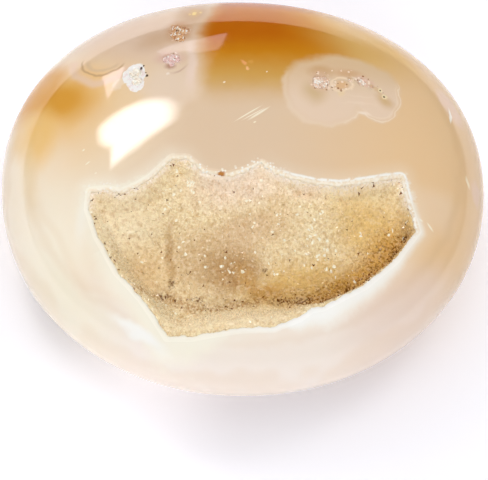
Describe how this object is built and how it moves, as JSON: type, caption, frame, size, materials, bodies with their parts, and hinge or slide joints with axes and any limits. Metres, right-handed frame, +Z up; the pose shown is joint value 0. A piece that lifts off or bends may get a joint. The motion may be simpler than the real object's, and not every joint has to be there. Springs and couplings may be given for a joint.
{
  "type": "agate palm stone",
  "caption": "Polished oval agate pebble with an open pocket lined with tiny quartz crystals on its upper face, lying on a small flat underneath.",
  "frame": {"origin": "middle of the flat under the stone, where it rests, below the middle of its outline", "axes": "+Z up through the stone's thickness; +X along its length, to the right as the pocket faces the viewer; +Y away from the viewer, towards the amber edge, with the pocket on the -Y side of the upper face"},
  "size_m": [0.0654, 0.0597, 0.0248],
  "materials": {
    "polished_agate": "polished",
    "quartz_druse": "satin",
    "white_quartz": "satin",
    "pink_quartz": "satin",
    "golden_quartz": "satin"
  },
  "bodies": {
    "root": {"agate_stone": "polished_agate", "druzy_crust": "quartz_druse", "eye_pit_crust": "pink_quartz", "white_pit_crust": "white_quartz", "pink_pit_crust": "pink_quartz", "gold_pit_crust": "golden_quartz"}
  },
  "joints": []
}
